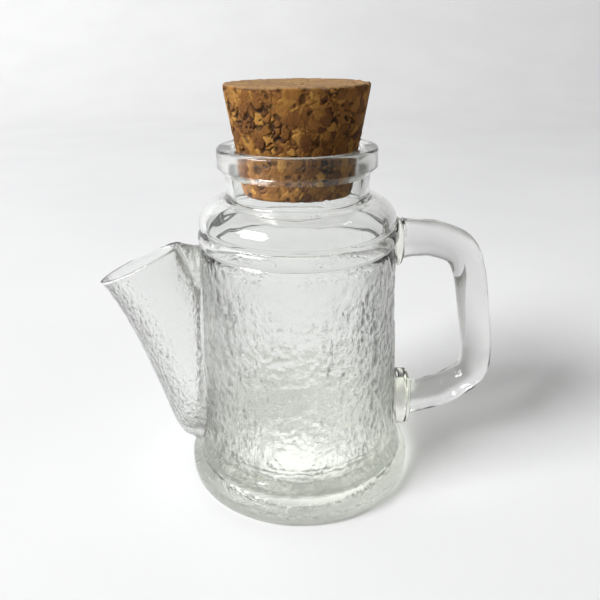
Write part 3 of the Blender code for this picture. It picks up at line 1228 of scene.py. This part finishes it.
@dataclass
class CorkStopper:
    """The tapered stopper of pressed cork granules."""

    node: str = "cork_stopper"
    columns: int = 420
    side_step: float = 0.00030
    face_step: float = 0.00042
    middle: float = 0.0003
    edge: float = 0.0005
    bottom_radius: float = 0.0170
    granules: int = 7300
    seed: int = 7
    granule_size: float = 0.00042
    granule_long: float = 0.80
    granule_warp: Pair = (420.0, 0.00055)
    granule_near: int = 10
    seam: Pair = (0.00005, 0.00042)
    gap_depth: float = 0.00055
    level: float = 0.00016
    chip_depth: float = 0.0009
    chip_reach: Pair = (0.0004, 0.0017)
    sawn_edge: Pair = (-0.0004, -0.0001)
    growth_ring: float = 0.0011

    def __post_init__(self) -> None:
        """Reads the cork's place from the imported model."""
        low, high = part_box(self.node)
        self.bottom, self.top, self.top_radius = low.z, high.z, high.x

    def _rings(self) -> np.ndarray:
        """Makes the plain taper.

        Returns:
            Its rings, from the middle of its bottom to that of its top.
        """
        bottom, top, edge = self.bottom, self.top, self.edge
        start, end = (self.bottom_radius - edge, bottom), (self.top_radius - edge, top)
        side = [start, (self.bottom_radius, bottom + edge), (self.top_radius, top - edge), end]
        low = evenly(np.array([(self.middle, bottom), start]), self.face_step)
        high = evenly(np.array([end, (self.middle, top)]), self.face_step)
        return turned(np.vstack([low, evenly(np.array(side), self.side_step)[1:], high[1:]]), self.columns)

    def _granules(self, points: np.ndarray) -> dict[str, np.ndarray]:
        """Sorts points into granules.

        Args:
            points: rows of coordinates on the plain taper.

        Returns:
            For each point its granule's number, how far it is from the next one, and its place
            along the granule's grain.
        """
        dice = np.random.default_rng(self.seed)
        radius = self.top_radius * np.sqrt(dice.uniform(0.0, 1.05, self.granules))
        turn = dice.uniform(0, 2 * math.pi, self.granules)
        height = dice.uniform(self.bottom - MM, self.top + MM, self.granules)
        seeds = np.stack([radius * np.cos(turn), radius * np.sin(turn), height], 1)
        grain = dice.normal(size=(self.granules, 3))
        grain /= np.linalg.norm(grain, axis=1, keepdims=True)
        size = dice.gamma(2.0, self.granule_size, self.granules)
        tree = kdtree.KDTree(self.granules)
        for i, place in enumerate(seeds):
            tree.insert(place, i)
        tree.balance()
        scale, depth = self.granule_warp
        warped = points + np.array([noise.noise_vector(Vector(p) * scale) for p in points]) * depth
        near = np.array([[found[1] for found in tree.find_n(p, self.granule_near)] for p in warped])
        away = warped[:, None] - seeds[near]
        length_way = (away * grain[near]).sum(2)
        squared = (away**2).sum(2) - self.granule_long * length_way**2
        reach = np.sqrt(np.maximum(squared, 0.0)) - size[near]
        order = np.argsort(reach, axis=1)
        rows = np.arange(len(points))
        own = near[rows, order[:, 0]]
        apart = reach[rows, order[:, 1]] - reach[rows, order[:, 0]]
        return {"own": own, "apart": apart, "along": (warped * grain[own]).sum(1)}

    def _marks(self, points: np.ndarray) -> tuple[dict[str, np.ndarray], np.ndarray]:
        """Works out what the finish reads, and how deep the gaps, levels and chips are.

        Args:
            points: rows of coordinates on the plain taper.

        Returns:
            The numbers that the mesh carries for each point, and how far each point is sunk.
        """
        found = self._granules(points)
        own = found["own"]
        dice = np.random.default_rng(self.seed + 1)
        tone = dice.beta(2.2, 2.0, self.granules)[own]
        level = dice.uniform(0.0, 1.0, self.granules)[own]
        open_gaps = smooth_step(noise_at(points, 170.0), -0.05, 0.45)
        seam = 1 - smooth_step(found["apart"] / (0.60 + 0.40 * open_gaps), *self.seam)
        pits = smooth_step(noise_at(points, 430.0, (3.0, 1.0, 7.0)), 0.40, 0.50)
        gap = np.maximum(seam * (0.22 + 0.70 * open_gaps), pits * (0.60 + 0.40 * open_gaps))
        height = points[:, 2] - self.top
        sawn = smooth_step(height, *self.sawn_edge)
        gap *= 1 - 0.55 * sawn
        from_edge = np.abs(np.hypot(points[:, 0], points[:, 1]) - self.top_radius) + np.abs(height)
        chips = smooth_step(noise_at(points, 300.0, (5.0, 2.0, 9.0)), -0.05, 0.45)
        chips *= 1 - smooth_step(from_edge, *self.chip_reach)
        sunk = self.gap_depth * gap + self.level * level * (1 - sawn) + self.chip_depth * chips
        grain = 0.5 + 0.5 * np.sin(found["along"] * 2 * math.pi / self.growth_ring + own)
        gap = np.maximum(gap, 0.45 * chips)
        carried = {"granule_tone": tone, "granule_gap": gap, "granule_grain": grain, "sawn": sawn}
        return carried, sunk

    def build(self, finish: bpy.types.Material) -> bpy.types.Object:
        """Presses the stopper.

        Args:
            finish: its cork.

        Returns:
            The stopper, which rides on its own body.
        """
        rings = self._rings()
        points = rings.reshape(-1, 3)
        square = ring_normals(rings)
        square *= np.sign((square * (rings - points.mean(0))).sum(2))[..., None]
        carried, sunk = self._marks(points)
        rings = rings - square * sunk.reshape(rings.shape[:2])[..., None]
        stopper = solid_of_rings("stopper_cork", rings)
        for name, values in carried.items():
            attribute = stopper.data.attributes.new(name, "FLOAT", "POINT")
            attribute.data.foreach_set("value", np.append(values, values[[0, -1]]).astype(np.float32))
        stopper.data.materials.append(finish)
        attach(stopper, "stopper")
        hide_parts(self.node)
        return stopper


# ---------------------------------------------------------------- the studio


@dataclass
class Studio:
    """A pale table that sweeps up behind the bottle, a window-like lamp and the camera."""

    eye: Triple = (0.0, -0.1905, 0.1465)
    pitch: float = 0.4085
    roll: float = -0.008
    yaw: float = 0.0026
    lens: float = 36.0
    lamp_way: Triple = (-0.68, -0.37, 0.60)
    lamp_aim: Triple = (0.0, 0.0, 0.06)
    lamp_distance: float = 4.5
    lamp_size: Pair = (2.15, 1.65)
    lamp_power: float = 272.0
    lamp_colour: Triple = (0.985, 0.99, 1.0)
    room_way: Triple = (-0.45, 0.40, 0.60)
    room_span: Pair = (-0.10, 0.55)
    room_bright: float = 0.38
    room_dark: float = 0.17
    bright_colour: Triple = (0.99, 0.995, 1.0)
    dark_colour: Triple = (1.0, 0.97, 0.92)
    table_front: float = -2.0
    # The table's own pale colour, and the darker colour that painted shade and a noise's blotches mix into
    # it.
    table_light: Triple = (0.83, 0.83, 0.83)
    table_dark: Triple = (0.71, 0.71, 0.715)
    sweep_width: float = 3.4
    sweep_back: float = 0.95
    sweep_round: float = 1.00
    sweep_high: float = 1.30
    cards: tuple[tuple[float, float, float, float], ...] = (
        (-0.60, 0.70, -0.90, -0.115),
        (0.16, 0.90, -0.115, 0.30),
    )
    card_dark: Triple = (0.150, 0.145, 0.130)
    card_light: Triple = (0.210, 0.205, 0.188)
    card_fade: Pair = (0.10, 0.42)
    card_lift: float = 0.0015

    def build(self) -> None:
        """Lays the table, hangs the lamp and sets up the camera."""
        self._table()
        self._lamp()
        self._room()
        self._cards()
        self._camera()
        look = bpy.context.scene
        look.view_settings.view_transform = "Standard"
        look.cycles.caustics_reflective = False
        look.cycles.sample_clamp_indirect = 0.0
        look.cycles.caustics_refractive = True

    def _table(self) -> None:
        """Makes the table top and the sweep behind it, with painted shade that darkens its colour towards +X
        and towards the back.
        """
        rise = [
            (self.sweep_back + self.sweep_round * math.cos(t), self.sweep_round * (1 + math.sin(t)))
            for t in np.radians(np.linspace(-90, 0, 24))
        ]
        line = [(self.table_front, 0.0), *rise, (self.sweep_back + self.sweep_round, self.sweep_high)]
        half = self.sweep_width / 2
        points = [(x, y, z) for y, z in line for x in (-half, half)]
        faces = [(2 * i, 2 * i + 1, 2 * i + 3, 2 * i + 2) for i in range(len(line) - 1)]
        mesh = bpy.data.meshes.new("table")
        mesh.from_pydata(points, [], faces)
        mesh.shade_smooth()
        paper, graph = new_material("pale_table")
        place = graph.where()
        across, back, _ = graph.axes(place)
        # Painted shade: the colour is darkened towards +X, where the bottle's shadow spreads, and towards
        # the back, where the light falls off; a noise adds random blotches on top.
        shade = graph.remap(across, (-0.05, 0.24), 0.0, 0.25) + graph.remap(back, (0.02, 0.5), 0.0, 0.36)
        shade = shade + graph.remap(graph.noise(0.12, 2.0, place), (0.3, 0.7), 0.0, 0.2)
        colour = graph.mix(shade, (*self.table_light, 1.0), (*self.table_dark, 1.0))
        graph.end({"Surface": graph.shader({"Base Color": colour, "Roughness": 0.62})})
        mesh.materials.append(paper)
        placed("table", mesh)

    def _lamp(self) -> None:
        """Hangs the one lamp, which stands for a window to the left and in front."""
        data = bpy.data.lights.new("window_lamp", "AREA")
        data.shape = "RECTANGLE"
        data.size, data.size_y = self.lamp_size
        data.energy = self.lamp_power
        data.color = self.lamp_colour
        lamp = placed("window_lamp", data)
        way = Vector(self.lamp_way).normalized()
        lamp.location = Vector(self.lamp_aim) + way * self.lamp_distance
        lamp.rotation_euler = way.to_track_quat("Z", "Y").to_euler()

    def _cards(self) -> None:
        """Lays the dark cards that draw the edges of the glass, out of the camera's sight."""
        cloth, graph = new_material("dark_card")
        fibre = graph.remap(graph.noise(0.004, 3.0, graph.where()), (0.3, 0.7))
        colour = graph.mix(fibre, (*self.card_dark, 1.0), (*self.card_light, 1.0))
        shader = graph.shader({"Base Color": colour, "Roughness": 0.9})
        under = graph.value(graph.add("ShaderNodeNewGeometry"), "Backfacing")
        away = graph.value(graph.vector("LENGTH", graph.where()), "Value")
        seen = graph.remap(away, self.card_fade) * (1 - under)
        graph.end({"Surface": graph.mix_shaders(seen, graph.clear(), shader)})
        for number, (left, right, front, back) in enumerate(self.cards):
            mesh = bpy.data.meshes.new("dark_card")
            corners = [(left, front), (right, front), (right, back), (left, back)]
            mesh.from_pydata([(*corner, self.card_lift) for corner in corners], [], [(0, 1, 2, 3)])
            mesh.materials.append(cloth)
            card = placed(f"dark_card_{number}", mesh)
            card.visible_camera = card.visible_shadow = False

    def _room(self) -> None:
        """Lights the room: bright to the left and above, darker to the right and in front."""
        world = bpy.data.worlds.new("room")
        bpy.context.scene.world = world
        world.use_nodes = True
        graph = Graph(world.node_tree)
        way = graph.add("ShaderNodeTexCoord").outputs["Generated"]
        across, ahead, up = (part * share for part, share in zip(graph.axes(way), self.room_way))
        share = graph.remap(across + ahead + up, self.room_span)
        colour = graph.mix(share, (*self.dark_colour, 1.0), (*self.bright_colour, 1.0))
        strength = share * (self.room_bright - self.room_dark) + self.room_dark
        back = graph.add("ShaderNodeBackground", None, {"Color": colour, "Strength": strength})
        graph.add("ShaderNodeOutputWorld", None, {"Surface": back.outputs[0]})

    def _camera(self) -> None:
        """Sets up the camera, a little above the bottle and close to it."""
        data = bpy.data.cameras.new("camera")
        data.lens = self.lens
        data.sensor_width = 36.0
        data.clip_start = 0.01
        turn = Matrix.Rotation(-self.yaw, 4, "Z") @ Matrix.Rotation(math.pi / 2 - self.pitch, 4, "X")
        camera = placed("camera", data)
        camera.matrix_world = Matrix.Translation(self.eye) @ turn @ Matrix.Rotation(self.roll, 4, "Z")
        bpy.context.scene.camera = camera


def report(piece: bpy.types.Object) -> None:
    """Logs a piece's name and its number of faces."""
    LOG.info("%s: %d faces", piece.name, len(piece.data.polygons))


def main() -> None:
    """Builds the studio and the bottle's pieces, and reports each."""
    logging.basicConfig(level=logging.INFO, format="%(message)s")
    noise.seed_set(NOISE_SEED)
    Studio().build()
    ice_glass = ClearGlass(GlassSkin.ICE).material()
    worked_glass = ClearGlass(GlassSkin.WORKED, tint=(0.83, 0.835, 0.825)).material()
    vessel = Vessel()
    report(vessel.build(ice_glass))
    report(Spout().build(vessel, ice_glass))
    pad_glass = ClearGlass(GlassSkin.WORKED, tint=(0.955, 0.965, 0.895)).material()
    joint = OpenJoint().material()
    rod = HandleRod()
    upper = HandlePad(
        name="upper_pad_glass",
        node="handle_upper_pad",
        middle=0.0852,
        face=0.0343,
        height=0.0076,
        width=0.0076,
        flare=0.0026,
    )
    lower = HandlePad(
        name="lower_pad_glass",
        node="handle_lower_pad",
        middle=0.0254,
        face=0.0401,
        height=0.0098,
        width=0.0080,
        flare=0.0014,
        reach=0.0085,
    )
    report(upper.build(vessel, rod.end(0), pad_glass, joint))
    report(lower.build(vessel, rod.end(-1), pad_glass, joint))
    report(rod.build((upper.face, lower.face), worked_glass, joint))
    report(CorkStopper().build(PressedCork().material()))


if __name__ == "__main__":
    main()
